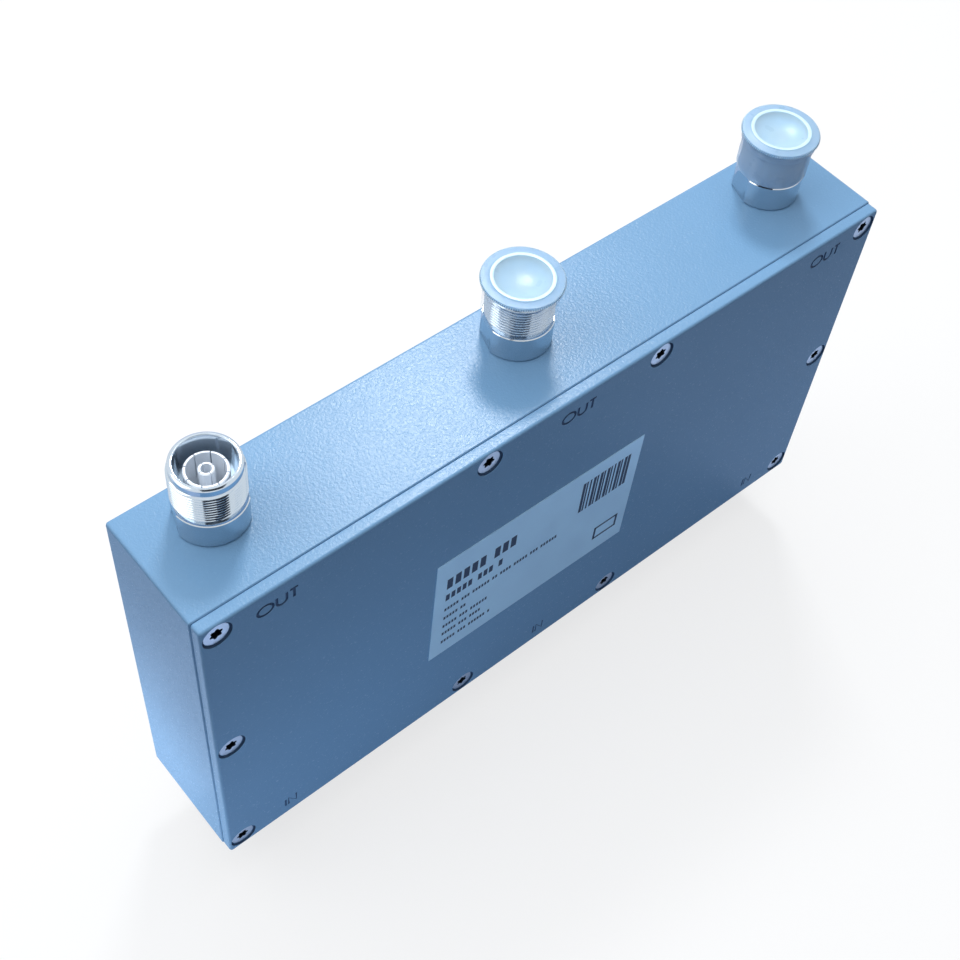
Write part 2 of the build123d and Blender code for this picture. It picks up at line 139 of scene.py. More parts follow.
class CombinerColours(bpy.types.PropertyGroup):
    """Colours of the combiner's finishes."""

    paint: colour_property("Paint", "Textured powder paint of box and cover", "#749EC4")
    plating: colour_property("Plating", "White bronze plating of the connector bodies", "#CBD9E6")
    # A greyer copy of the plating on the base: a painted tint that takes the paint's blue out of its
    # reflection.
    handled: colour_property("Handled", "Dulled plating of the wrench flats", "#CBD4DB")
    silver: colour_property("Silver", "Silver plating of contacts and strips", "#F0F7FF")
    zinc: colour_property("Zinc", "Zinc plating of the cover screws", "#E3E8EF")
    cap: colour_property("Cap", "Natural polyethylene of the dust caps", "#9CBFE4")
    bead: colour_property("Bead", "White fluoropolymer of beads, combs and posts", "#EEF1F2")
    rubber: colour_property("Rubber", "Silicone rubber of gasket and seals", "#1C1D20")
    film: colour_property("Film", "Printed film of the label", "#CCEDFF")
    ink: colour_property("Ink", "Ink of the label", "#1E2F49")
    # The output marks' colour is partly a dark fill and partly painted shade for their grooves.
    enamel: colour_property("Enamel", "Enamel in the output marks", "#2E4A6C")
    # The input marks are shallower, with a lighter fill and less painted shade.
    shallow_mark_fill_and_shade: colour_property("Worn enamel", "Enamel left in the shallower input marks", "#4A6E9A")
    # Painted shade: the dark gap round each screw head, in its countersink.
    primer: colour_property("Primer", "Primer left bare in the screws' countersinks", "#1B2738")
    # Painted shade: the dark inside of the screws' recesses.
    recess: colour_property("Recess", "Oiled inside of the screws' recesses", "#39424E")
    # Painted light: a paler copy of the cap colour that lightens the dish's shaded walls.
    dish: colour_property("Dish", "Thicker middle of the dust caps", "#B2D4F4")
    # Painted highlight: the white of the caps' lips and teeth tips.
    blush: colour_property("Blush", "Whitened lips and teeth of the dust caps", "#CDE8FD")
    skirt: colour_property("Skirt", "Thin skirts of the dust caps", "#C8E4FF")
    floor: colour_property("Floor", "Floor and backdrop", "#F4F6F8")


def add_node(tree, kind, settings=None, links=None):
    """One shader node: settings name its sockets or its properties, links name the outputs that feed it."""
    node = tree.nodes.new(kind)
    for name, value in (settings or {}).items():
        if isinstance(name, int) or name in node.inputs:
            node.inputs[name].default_value = value
        else:
            setattr(node, name, value)
    for name, output in (links or {}).items():
        tree.links.new(output, node.inputs[name])
    return node


def new_material(name, settings):
    """A material with a Principled shader of these settings, and the shader's tree."""
    material = bpy.data.materials.new(name)
    material.use_nodes = True
    tree = material.node_tree
    tree.nodes.clear()
    shader = add_node(tree, "ShaderNodeBsdfPrincipled", settings)
    add_node(tree, "ShaderNodeOutputMaterial", links={"Surface": shader.outputs["BSDF"]})
    return material, tree, shader


def grain(tree, size_mm, settings=None):
    """Noise whose blobs have this size, in the piece's own space."""
    place = add_node(tree, "ShaderNodeTexCoord")
    values = {"Scale": 1 / (size_mm * MM), "Detail": 1.0}
    values.update(settings or {})
    return add_node(tree, "ShaderNodeTexNoise", values, {"Vector": place.outputs["Object"]})


def spread(tree, output, low, high):
    """A noise output stretched to lie between two values."""
    settings = {"From Min": 0.3, "From Max": 0.7, "To Min": low, "To Max": high}
    return add_node(tree, "ShaderNodeMapRange", settings, {"Value": output}).outputs["Result"]


def tinted(tree, shader, colour, factor, dark, light):
    """Feeds the shader's colour, scaled between two shares of itself by a factor."""
    shades = [(*(c * share for c in colour[:3]), 1.0) for share in (dark, light)]
    mix = add_node(tree, "ShaderNodeMix", {"data_type": "RGBA"})
    for index, shade in zip((6, 7), shades):
        mix.inputs[index].default_value = [min(c, 1.0) for c in shade]
    tree.links.new(factor, mix.inputs[0])
    tree.links.new(mix.outputs[2], shader.inputs["Base Color"])


def bumped(tree, shader, height, strength, distance):
    """Gives the shader fine relief of this height pattern, strength and depth."""
    settings = {"Strength": strength, "Distance": distance}
    bump = add_node(tree, "ShaderNodeBump", settings, {"Height": height})
    tree.links.new(bump.outputs["Normal"], shader.inputs["Normal"])


def powder_paint(colours):
    """Polyester powder paint baked on cast aluminium: satin, its fine orange peel breaks up the glare."""
    material, tree, shader = new_material("powder_paint", {"IOR": 1.5, "Specular IOR Level": 0.2})
    peel = grain(tree, 0.8, {"Detail": 2.0, "Distortion": 0.5})
    blend = grain(tree, 35.0)
    tinted(tree, shader, colours.paint, blend.outputs["Fac"], 0.97, 1.03)
    tree.links.new(spread(tree, peel.outputs["Fac"], 0.20, 0.28), shader.inputs["Roughness"])
    bumped(tree, shader, spread(tree, peel.outputs["Fac"], 0.0, 1.0), 0.55, 0.055 * MM)
    return material


def turned_plating(name, colour):
    """White bronze plated on turned brass: a bright mirror metal with faint smears along the tool marks."""
    material, tree, shader = new_material(name, {"Metallic": 0.92})
    smear = grain(tree, 4.0, {"Detail": 2.0})
    tinted(tree, shader, colour, smear.outputs["Fac"], 0.94, 1.02)
    tree.links.new(spread(tree, smear.outputs["Fac"], 0.07, 0.14), shader.inputs["Roughness"])
    return material


def silver_plating(colours):
    """Matt silver plated on bronze and copper: white, its crystals scatter more light than they mirror."""
    material, tree, shader = new_material("silver_plating", {"Metallic": 0.15})
    haze = grain(tree, 2.0)
    tinted(tree, shader, colours.silver, haze.outputs["Fac"], 0.95, 1.0)
    tree.links.new(spread(tree, haze.outputs["Fac"], 0.32, 0.42), shader.inputs["Roughness"])
    return material


def zinc_plating(colours):
    """Zinc plated on cold-forged steel: pale satin metal with a fine granular haze."""
    return zinc_finish("zinc_plating", colours.zinc)


def recess_painted_shade(colours):
    """Zinc plated on cold-forged steel, darkened inside the driver's recess as painted shade."""
    return zinc_finish("recess_painted_shade", colours.recess)


def zinc_finish(name, colour):
    """Metal with the grain of a zinc deposit."""
    material, tree, shader = new_material(name, {"Metallic": 1.0})
    haze = grain(tree, 0.35, {"Detail": 2.0})
    tinted(tree, shader, colour, haze.outputs["Fac"], 0.90, 1.03)
    tree.links.new(spread(tree, haze.outputs["Fac"], 0.30, 0.42), shader.inputs["Roughness"])
    return material


def moulded_polyethylene(name, colour, alpha, depth):
    """Natural low density polyethylene, moulded thin: milky, waxy and half clear where the wall is thin."""
    settings = {
        "IOR": 1.51, "Alpha": alpha, "Specular IOR Level": 0.35,
        "Subsurface Weight": 0.9 if depth else 0.0, "Subsurface Radius": (1.0, 1.0, 1.0),
        "Subsurface Scale": depth,
    }
    material, tree, shader = new_material(name, settings)
    cloud = grain(tree, 5.0, {"Detail": 2.0})
    tinted(tree, shader, colour, cloud.outputs["Fac"], 0.95, 1.03)
    tree.links.new(spread(tree, cloud.outputs["Fac"], 0.26, 0.36), shader.inputs["Roughness"])
    return material


def turned_fluoropolymer(colours):
    """Turned and milled fluoropolymer: dense white, waxy and without gloss."""
    settings = {
        "IOR": 1.38, "Subsurface Weight": 0.2, "Subsurface Radius": (1.0, 1.0, 1.0),
        "Subsurface Scale": MM,
    }
    material, tree, shader = new_material("turned_fluoropolymer", settings)
    mark = grain(tree, 0.8)
    tinted(tree, shader, colours.bead, mark.outputs["Fac"], 0.96, 1.02)
    tree.links.new(spread(tree, mark.outputs["Fac"], 0.45, 0.58), shader.inputs["Roughness"])
    return material


def moulded_rubber(colours):
    """Moulded silicone rubber: nearly black, matt, with a fine tooth from the mould."""
    material, tree, shader = new_material("moulded_rubber", {"IOR": 1.43})
    tooth = grain(tree, 0.25, {"Detail": 2.0})
    tinted(tree, shader, colours.rubber, tooth.outputs["Fac"], 0.8, 1.2)
    tree.links.new(spread(tree, tooth.outputs["Fac"], 0.62, 0.75), shader.inputs["Roughness"])
    return material


def silvered_polyester(colours):
    """Silvered polyester film: smooth, pale, with a soft sheen and a faint waviness from the glue below."""
    settings = {"IOR": 1.57, "Metallic": 0.5, "Specular IOR Level": 0.3}
    material, tree, shader = new_material("silvered_polyester", settings)
    wave = grain(tree, 9.0)
    tinted(tree, shader, colours.film, wave.outputs["Fac"], 0.96, 1.02)
    tree.links.new(spread(tree, wave.outputs["Fac"], 0.30, 0.38), shader.inputs["Roughness"])
    bumped(tree, shader, wave.outputs["Fac"], 0.2, 0.05 * MM)
    return material


def thermal_ink(colours):
    """Thermal transfer ink: a dark, slightly uneven deposit with the sheen of its wax."""
    material, tree, shader = new_material("thermal_ink", {"IOR": 1.45})
    speckle = grain(tree, 0.3)
    tinted(tree, shader, colours.ink, speckle.outputs["Fac"], 0.85, 1.2)
    tree.links.new(spread(tree, speckle.outputs["Fac"], 0.45, 0.55), shader.inputs["Roughness"])
    return material


def cut_fill_and_shade(name, colour):
    """A dark colour for a cut: fill with painted shade for the groove in the marks, painted shade alone
    round the screws; matt, and uneven where the wiping left the fill thin.
    """
    material, tree, shader = new_material(name, {"IOR": 1.5, "Roughness": 0.6})
    wiping = grain(tree, 0.6, {"Detail": 2.0})
    tinted(tree, shader, colour, wiping.outputs["Fac"], 0.7, 1.4)
    return material


def shared_material(maker, colours):
    """The material that a maker names after itself, made on its first use."""
    return bpy.data.materials.get(maker.__name__) or maker(colours)


def object_from_mesh(name, mesh, material, replaced=(), sharp_degrees=22.0):
    """A shaded piece that rides on the frame's only body and stands for these nodes."""
    if material:
        mesh.materials.append(material)
    piece = bpy.data.objects.new(name, mesh)
    bpy.context.scene.collection.objects.link(piece)
    mesh.polygons.foreach_set("use_smooth", [True] * len(mesh.polygons))
    mesh.set_sharp_from_angle(angle=math.radians(sharp_degrees))
    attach(piece, "root")
    if replaced:
        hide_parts(*replaced)
    return piece


def weld(mesh, turn_outwards):
    """Joins a mesh's doubled points, and turns its faces outwards where that is asked for."""
    build = bmesh.new()
    build.from_mesh(mesh)
    bmesh.ops.remove_doubles(build, verts=build.verts, dist=MERGE_DISTANCE)
    if turn_outwards:
        bmesh.ops.recalc_face_normals(build, faces=build.faces)
    build.to_mesh(mesh)
    build.free()


def mesh_from_parts(name, vertices, faces):
    """A mesh without doubled points, with its faces turned outwards."""
    mesh = bpy.data.meshes.new(name)
    mesh.from_pydata(vertices, [], faces)
    weld(mesh, turn_outwards=True)
    return mesh


def turned_form(rows, angles, closed):
    """Vertices and faces about Z. A row is (radius, height); the radius may be a function of the angle."""
    vertices = []
    for radius, height in rows:
        for angle in angles:
            reach = radius(angle) if callable(radius) else radius
            vertices.append((reach * math.cos(angle), reach * math.sin(angle), height))
    columns = len(angles)
    last = len(rows) if closed else len(rows) - 1
    faces = []
    for row in range(last):
        low = row * columns
        high = (row + 1) % len(rows) * columns
        for column in range(columns):
            following = (column + 1) % columns
            faces.append((low + column, low + following, high + following, high + column))
    return vertices, faces


def even_angles(count, extra=()):
    """Evenly spaced angles round a circle, with extra ones where a corner has to fall exactly."""
    turn = 2 * math.pi
    angles = [turn * i / count for i in range(count)] + [angle % turn for angle in extra]
    return sorted({round(angle, 6) for angle in angles})


def rounded(radius, height, size, start_degrees, end_degrees, steps):
    """Rows along a quarter round, about a centre at this radius and height."""
    rows = []
    for step in range(steps + 1):
        angle = math.radians(start_degrees + (end_degrees - start_degrees) * step / steps)
        rows.append((radius + size * math.cos(angle), height + size * math.sin(angle)))
    return rows


def port_place(port):
    """Matrix from a connector's own frame, whose foot is on the box's wall, to the frame."""
    low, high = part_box(f"{port}_insulator")
    middle = (low + high) / 2
    if port in OUTPUTS:
        return Matrix.Translation((middle.x, middle.y, BOX_HIGH.z))
    return Matrix.Translation((middle.x, middle.y, BOX_LOW.z)) @ Matrix.Rotation(math.pi, 4, "X")


def port_height(port, node):
    """Lowest and highest height of one of a connector's nodes, in the connector's own frame."""
    low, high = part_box(f"{port}_{node}")
    if port in OUTPUTS:
        return low.z - BOX_HIGH.z, high.z - BOX_HIGH.z
    return BOX_LOW.z - high.z, BOX_LOW.z - low.z


def base_radius_at(reach, sizes):
    """Radius of a base row that two wrench flats cut."""
    half = sizes.wrench_width / 2

    def radius(angle):
        across = abs(math.cos(angle - sizes.wrench_angle))
        return min(reach, half / across) if across > 1e-6 else reach

    return radius


def thread_radius_at(height, foot, sizes):
    """Radius of a thread row: one right-hand start of ridges, cut back at the foot and at the end."""
    pitch = sizes.thread_pitch
    crest_half, root_start = 1 / 20, 7 / 16
    foot_limit = sizes.relief_radius + (height - foot)
    end_limit = sizes.pilot_radius + (foot + sizes.thread_length - height)

    def radius(angle):
        phase = ((height - foot) / pitch - angle / (2 * math.pi)) % 1
        away = abs(phase - 0.5)
        share = min(max((away - crest_half) / (root_start - crest_half), 0), 1)
        return min(sizes.thread_radius - sizes.thread_depth * share, foot_limit, end_limit)

    return radius


def connector_rows(port, sizes):
    """Rows of a connector body: from the spigot's foot up its outside to the rim, and down the socket."""
    wall, rim = port_height(port, "connector_body")
    sleeve_foot = port_height(port, "outer_contact")[0]
    flange_low, flange_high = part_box(f"{port}_outer_contact")
    base_low, base_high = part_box(f"{port}_connector_body")
    base = (base_high.y - base_low.y) / 2
    contact_clearance = 0.03 * MM
    sleeve_flange = 2 * MM
    foot_bore = (flange_high.x - flange_low.x) / 2 + contact_clearance
    sleeve_bore = 5.93 * MM
    seat = sleeve_foot + sleeve_flange
    seal_width, seal_height = 1.0 * MM, 1.0 * MM
    seal_radius = sizes.spigot_radius + seal_width
    undercut, foot_gap, foot_bevel = 0.5 * MM, 0.28 * MM, 0.12 * MM
    edge = 0.24 * MM
    undercut_radius = base_radius_at(base - undercut, sizes)
    flats_radius = base_radius_at(base, sizes)
    foot = sizes.base_height + sizes.relief_height
    rows = [
        (foot_bore, wall),
        (sizes.spigot_radius, wall),
        (sizes.spigot_radius, seal_height),
        (seal_radius, seal_height),
        (seal_radius, 0),
        (undercut_radius, 0),
        (undercut_radius, foot_gap),
        (flats_radius, foot_gap + foot_bevel),
        (flats_radius, sizes.base_height - edge),
        (base_radius_at(base - edge, sizes), sizes.base_height),
        (sizes.relief_radius, sizes.base_height),
        (sizes.relief_radius, foot),
    ]
    rows_per_turn = 12
    steps = round(sizes.thread_length / sizes.thread_pitch * rows_per_turn)
    for step in range(1, steps):
        height = foot + sizes.thread_length * step / steps
        rows.append((thread_radius_at(height, foot, sizes), height))
    bevel_foot = rim - 0.38 * MM
    bevel_end = sizes.pilot_radius - 0.6 * MM
    blunting = 0.08 * MM
    rows += [
        (sizes.pilot_radius, foot + sizes.thread_length),
        (sizes.pilot_radius, bevel_foot - 0.1 * MM),
        (sizes.pilot_radius - blunting, bevel_foot),
        (bevel_end, rim - 0.03 * MM),
        (bevel_end - blunting, rim),
    ]
    rim_round = 0.25 * MM
    rows += rounded(sizes.socket_radius + rim_round, rim - rim_round, rim_round, 90, 180, 4)
    floor = rim - sizes.socket_depth
    rows += [(sizes.socket_radius, floor), (sleeve_bore, floor), (sleeve_bore, seat), (foot_bore, seat)]
    return rows


def connector_mesh(port, sizes):
    """Turned and threaded body of one port, with its columns on the corners of the wrench flats."""
    low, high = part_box(f"{port}_connector_body")
    corner = math.acos(min(sizes.wrench_width / (high.y - low.y), 1))
    corners = [sizes.wrench_angle + turn + side * corner for turn in (0, math.pi) for side in (-1, 1)]
    angles = even_angles(96, corners)
    vertices, faces = turned_form(connector_rows(port, sizes), angles, closed=True)
    mesh = mesh_from_parts(f"{port}_threaded_body", vertices, faces)
    # The base below the thread takes the greyer copy of the plating, a painted reflection tint.
    for face in mesh.polygons:
        face.material_index = int(face.center.z < sizes.base_height)
    mesh.transform(port_place(port))
    return mesh


def dust_cap_rows(port, sizes):
    """Rows of a dust cap, from the plug's foot, over the skirt and the flange, to the dish's middle."""
    foot, top = port_height(port, "dust_cap")
    low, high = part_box(f"{port}_dust_cap")
    flange = (high.x - low.x) / 2
    lip_height = 0.25 * MM
    lip_inner, lip_outer = 8.05 * MM, 9.3 * MM
    top -= lip_height
    rim = port_height(port, "connector_body")[1] + 0.05 * MM
    skirt_inner = sizes.thread_radius + 0.08 * MM
    skirt_outer = skirt_inner + 0.75 * MM
    collar = 11.3 * MM
    flange_foot = top - 1.1 * MM
    collar_foot = flange_foot - 2.7 * MM
    plug = sizes.socket_radius - 0.15 * MM
    wall = 0.9 * MM
    dish_floor = top - 2.1 * MM
    soft = 0.25 * MM
    tooth_middle = flange - sizes.tooth_depth / 2

    def toothed(reach):
        def radius(angle):
            wave = 0.5 + 0.5 * math.cos(sizes.cap_teeth * angle)
            return reach - sizes.tooth_depth * (1 - wave)

        return radius

    rows = [
        (POLE_RADIUS, dish_floor - wall),
        (plug - wall, dish_floor - wall),
        (plug, dish_floor),
        (plug, rim),
        (skirt_inner, rim),
        (skirt_inner, foot),
        (skirt_outer - 0.1 * MM, foot),
        (skirt_outer, foot + soft),
        (skirt_outer, collar_foot),
        (collar - soft, collar_foot),
    ]
    rows += rounded(collar - soft, collar_foot + soft, soft, -90, 0, 3)
    rows += [
        (collar, flange_foot),
        (toothed(flange - soft / 2), flange_foot),
        (toothed(flange), flange_foot + soft / 2),
        (toothed(flange), flange_foot + 2.6 * soft),
        (tooth_middle, flange_foot + 2.8 * soft),
    ]
    rows += rounded(tooth_middle - soft, top - soft, soft, 0, 90, 4)
    rows += [(lip_outer + lip_height, top)]
    rows += rounded(lip_outer - lip_height, top, lip_height, 20, 90, 3)
    rows += rounded(lip_inner + lip_height, top, lip_height, 90, 180, 3)
    dish_steps, dish_curve = 14, 2.5
    for step in range(1, dish_steps):
        share = 1 - step / dish_steps
        rows.append((lip_inner * share, top - (top - dish_floor) * (1 - share ** dish_curve)))
    rows.append((POLE_RADIUS, dish_floor))
    return rows


def cap_zone(reach, height, top, sizes):
    """Finish of a dust cap's face, from its distance to the axis and its height below the lip's top."""
    skirt_top = top - 1.5 * MM
    lip_foot = top - 0.35 * MM
    lip_inner, lip_outer = 8.1 * MM, 9.1 * MM
    teeth_foot, teeth_top, teeth_inner = top - 1.36 * MM, top - 0.6 * MM, 11.78 * MM
    dish_foot = top - 2.6 * MM
    if height < skirt_top and reach > sizes.thread_radius:
        return SKIRT
    # Lip and teeth tips take the painted highlight.
    if height > lip_foot and lip_inner < reach < lip_outer:
        return HIGHLIGHTED
    if teeth_foot < height < teeth_top and reach > teeth_inner:
        return HIGHLIGHTED
    # The whole dish takes the paler, painted-light copy of the cap.
    if height > dish_foot and reach < lip_inner:
        return LIT_DISH
    return THICK


def screw_mesh(sizes):
    """The ten cover screws as one mesh: six-lobed recess, flat head, cone, shank and tip."""
    low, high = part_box("cover_screws")
    length = high.y - low.y
    head = sizes.screw_head_radius
    middle = (sizes.recess_outer + sizes.recess_inner) / 2
    swing = (sizes.recess_outer - sizes.recess_inner) / 2
    lobes = 6
    edge = 0.12 * MM
    tip_chamfer = 0.6 * MM
    cone = head - sizes.screw_radius
    depth = sizes.recess_depth
    drilled_radius, drilled_depth, drill_point = 1.0 * MM, 0.15 * MM, 0.5 * MM

    def lobed(extra):
        return lambda angle: middle + swing * math.cos(lobes * angle) + extra

    rows = [
        (POLE_RADIUS, -depth - drill_point),
        (drilled_radius, -depth - drilled_depth),
        (lobed(-edge), -depth),
        (lobed(0), -edge),
        (lobed(edge), 0),
        (head - edge, 0),
        (head, -edge),
        (head, -2 * edge),
        (sizes.screw_radius, -cone - edge),
        (sizes.screw_radius, tip_chamfer - length),
        (sizes.screw_radius - tip_chamfer, -length),
        (POLE_RADIUS, -length),
    ]
    vertices, faces = turned_form(rows, even_angles(72), closed=False)
    all_vertices, all_faces = [], []
    for x, z, turn in screw_places(low, high, sizes):
        place = Matrix.Translation((x, low.y, z)) @ Matrix.Rotation(math.pi / 2, 4, "X")
        place = place @ Matrix.Rotation(turn, 4, "Z")
        start = len(all_vertices)
        all_vertices += [place @ Vector(v) for v in vertices]
        all_faces += [tuple(start + i for i in face) for face in faces]
    return mesh_from_parts("cover_screws_lobed", all_vertices, all_faces)


def screw_places(low, high, sizes):
    """Across, height and turn of each screw: four corners, two at each long edge, one at each end."""
    head = sizes.screw_head_radius
    side = high.x - head
    top, bottom = high.z - head, low.z + head
    inner = 32.5 * MM
    turn_step = 17
    places = [(x, z) for x in (-side, -inner, inner, side) for z in (bottom, top)]
    places += [(x, (top + bottom) / 2) for x in (-side, side)]
    return [(x, z, math.radians(turn_step * i)) for i, (x, z) in enumerate(places)]


def letter_strokes(letter, width, height):
    """Centre lines of a letter's strokes, from its lower left corner."""
    if letter == "O":
        turn = [2 * math.pi * i / 40 for i in range(41)]
        return [[(width / 2 * (1 + math.cos(a)), height / 2 * (1 + math.sin(a))) for a in turn]]
    if letter == "U":
        bend = width / 2
        arc = [math.pi + math.pi * i / 16 for i in range(17)]
        bottom = [(bend * (1 + math.cos(a)), bend * (1 + math.sin(a))) for a in arc]
        return [[(0, height)] + bottom + [(width, height)]]
    if letter == "T":
        return [[(0, height), (width, height)], [(width / 2, height), (width / 2, 0)]]
    if letter == "N":
        return [[(0, 0), (0, height), (width, 0), (width, height)]]
    return [[(0, 0), (0, height)]]


def mark_strokes(word, middle_x, foot_z, height):
    """Strokes of a word centred on a port, as points across the cover."""
    widths = {"O": 4.8 * MM, "U": 3.1 * MM, "T": 2.4 * MM, "I": 0.0, "N": 2.9 * MM}
    gap = 1.1 * MM
    x = middle_x - (sum(widths[c] for c in word) + gap * (len(word) - 1)) / 2
    strokes = []
    for letter in word:
        for stroke in letter_strokes(letter, widths[letter], height):
            strokes.append([(x + u, foot_z + v) for u, v in stroke])
        x += widths[letter] + gap
    return strokes


def engraving_cutter(sizes):
    """Round cutter swept along every stroke of the marks and round the mouth of every countersink."""
    curve = bpy.data.curves.new("engraving", "CURVE")
    curve.dimensions = "3D"
    curve.bevel_depth = sizes.stroke_radius
    curve.bevel_resolution = 5
    curve.use_fill_caps = True
    out_foot = COVER_HIGH.z - 9.1 * MM
    in_foot = COVER_LOW.z + 5.3 * MM
    word_shift = 0.4 * MM
    marks = (
        (OUTPUTS, "OUT", out_foot, sizes.out_height, sizes.stroke_depth),
        (INPUTS, "IN", in_foot, sizes.in_height, sizes.stroke_depth / 2),
    )
    runs = []
    for index, (ports, word, foot, height, depth) in enumerate(marks):
        for port in ports:
            middle = port_place(port).translation.x + word_shift
            y = FRONT_Y + depth - sizes.stroke_radius
            runs += [(stroke, y, index, False) for stroke in mark_strokes(word, middle, foot, height)]
    # Rings round the screw heads, coloured as painted shade for the gap between head and countersink.
    ring = sizes.screw_head_radius + sizes.stroke_radius
    ring_y = FRONT_Y + 1.2 * sizes.stroke_radius
    turn = [2 * math.pi * i / 48 for i in range(48)]
    for x, z, _ in screw_places(*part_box("cover_screws"), sizes):
        circle = [(x + ring * math.cos(a), z + ring * math.sin(a)) for a in turn]
        runs.append((circle, ring_y, len(marks), True))
    for stroke, y, index, closed in runs:
        spline = curve.splines.new("POLY")
        spline.points.add(len(stroke) - 1)
        spline.use_cyclic_u = closed
        spline.material_index = index
        for point, (x, z) in zip(spline.points, stroke):
            point.co = (x, y, z, 1)
    cutter = bpy.data.objects.new("engraving_cutter", curve)
    bpy.context.scene.collection.objects.link(cutter)
    return cutter


def evaluated_mesh(piece):
    """The mesh of a piece with its modifiers applied."""
    depsgraph = bpy.context.evaluated_depsgraph_get()
    return bpy.data.meshes.new_from_object(piece.evaluated_get(depsgraph))


def engraved_cover(sizes, paint, fillings):
    """The frame's cover plate, its face cut for the marks and the screws' mouths and the cuts finished."""
    plate = bpy.data.objects.new("cover_blank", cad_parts["cover"].data.copy())
    plate.data.materials.clear()
    plate.data.materials.append(paint)
    weld(plate.data, turn_outwards=False)
    bpy.context.scene.collection.objects.link(plate)
    cutter = engraving_cutter(sizes)
    for filling in fillings:
        cutter.data.materials.append(filling)
    solid_cutter = bpy.data.objects.new("engraving_solid", evaluated_mesh(cutter))
    bpy.context.scene.collection.objects.link(solid_cutter)
    cut = plate.modifiers.new("engrave", "BOOLEAN")
    cut.operation = "DIFFERENCE"
    cut.solver = "EXACT"
    cut.use_self = True
    cut.material_mode = "TRANSFER"
    cut.object = solid_cutter
    mesh = evaluated_mesh(plate)
    for helper in (plate, cutter, solid_cutter):
        bpy.data.objects.remove(helper)
    if len(mesh.polygons) < len(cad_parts["cover"].data.polygons):
        raise RuntimeError("the marks could not be cut into the cover")
    return mesh


def label_frame():
    """Matrix from the label's own corner, across and up its face, to the frame."""
    low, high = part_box("label")
    middle = (low + high) / 2
    turn = Matrix.Rotation(LABEL_TURN, 4, "Y")
    corner = Matrix.Translation((-LABEL_LENGTH / 2, 0, -LABEL_HEIGHT / 2))
    return Matrix.Translation((middle.x, low.y, middle.z)) @ turn @ corner


def block_row(left, bottom, right, height, width):
    """Plain blocks in a row, as (left, bottom, width, height), with a wider space after every few."""
    blocks = []
    counts = (5, 3, 6, 2, 4)
    gap, space = 0.45 * width, 1.1 * width
    group, placed = 0, 0
    while left + width <= right:
        blocks.append((left, bottom, width, height))
        placed += 1
        left += width + gap
        if placed == counts[group % len(counts)]:
            left += space
            group, placed = group + 1, 0
    return blocks


def print_bars():
    """Print areas on the label, as (left, bottom, width, height) in millimetres from its corner."""
    margin = 4.4
    bars = []
    rows = (
        (37.2, 35.0, 5.2, 2.2),
        (30.8, 28.0, 3.2, 1.5),
        (25.0, 50.0, 1.5, 0.8),
        (20.2, 13.2, 1.5, 0.8),
        (15.4, 23.4, 1.5, 0.8),
        (11.0, 20.7, 1.5, 0.8),
        (6.2, 25.2, 1.5, 0.8),
    )
    for bottom, right, height, width in rows:
        bars += block_row(margin, bottom, right, height, width)
    stripes = (1.9, 0.7, 0.7, 1.4, 0.7, 2.1, 0.7, 1.4, 0.7, 0.7, 2.1, 0.7, 1.4, 1.9)
    left, right, bottom, height = 57.8, 78.6, 31.0, 15.2
    step = (right - left - stripes[-1]) / (len(stripes) - 1)
    for index, width in enumerate(stripes):
        bars.append((left + index * step, bottom, min(width, step * 0.8), height))
    left, bottom, width, height, rule = 68.2, 7.2, 10.4, 6.6, 0.9
    bars.append((left, bottom, width, rule))
    bars.append((left, bottom + height - rule, width, rule))
    bars.append((left, bottom, rule, height))
    bars.append((left + width - rule, bottom, rule, height))
    return bars


def print_mesh(sizes):
    """Thin blocks of ink on the label's face."""
    place = label_frame()
    vertices, faces = [], []
    for left, bottom, width, height in print_bars():
        start = len(vertices)
        for y in (-sizes.print_thickness, 0):
            for x, z in ((0, 0), (width, 0), (width, height), (0, height)):
                vertices.append(place @ Vector(((left + x) * MM, y, (bottom + z) * MM)))
        faces += [tuple(start + i for i in (0, 1, 2, 3)), tuple(start + i for i in (7, 6, 5, 4))]
        for side in range(4):
            following = (side + 1) % 4
            faces.append(tuple(start + i for i in (side, side + 4, following + 4, following)))
    return mesh_from_parts("label_print", vertices, faces)


def finish_node(name, material):
    """Gives a frame node that keeps its form its finish."""
    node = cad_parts[name]
    node.data.materials.clear()
    node.data.materials.append(material)


class COMBINER_OT_paint_box(bpy.types.Operator):
    """Paint the cast box"""

    bl_idname = "combiner.paint_box"
    bl_label = "Paint Box"

    def execute(self, context):
        paint = shared_material(powder_paint, context.scene.combiner_colours)
        finish_node("housing", paint)
        return {"FINISHED"}


class COMBINER_OT_engrave_cover(bpy.types.Operator):
    """Engrave the marks in the cover and paint it"""

    bl_idname = "combiner.engrave_cover"
    bl_label = "Engrave Cover"

    def execute(self, context):
        scene = context.scene
        colours = scene.combiner_colours
        paint = shared_material(powder_paint, colours)
        # The cuts are coloured darker than the paint: fill and painted shade in the marks, painted shade
        # alone in the countersink rings.
        fillings = [
            cut_fill_and_shade("cut_fill_and_shade", colours.enamel),
            cut_fill_and_shade("shallow_mark_fill_and_shade", colours.shallow_mark_fill_and_shade),
            cut_fill_and_shade("countersink_painted_shade", colours.primer),
        ]
        mesh = engraved_cover(scene.combiner_sizes, paint, fillings)
        piece = object_from_mesh("engraved_cover", mesh, None, ["cover"], 25.0)
        weigh = piece.modifiers.new("flat_faces", "WEIGHTED_NORMAL")
        weigh.keep_sharp = True
        return {"FINISHED"}


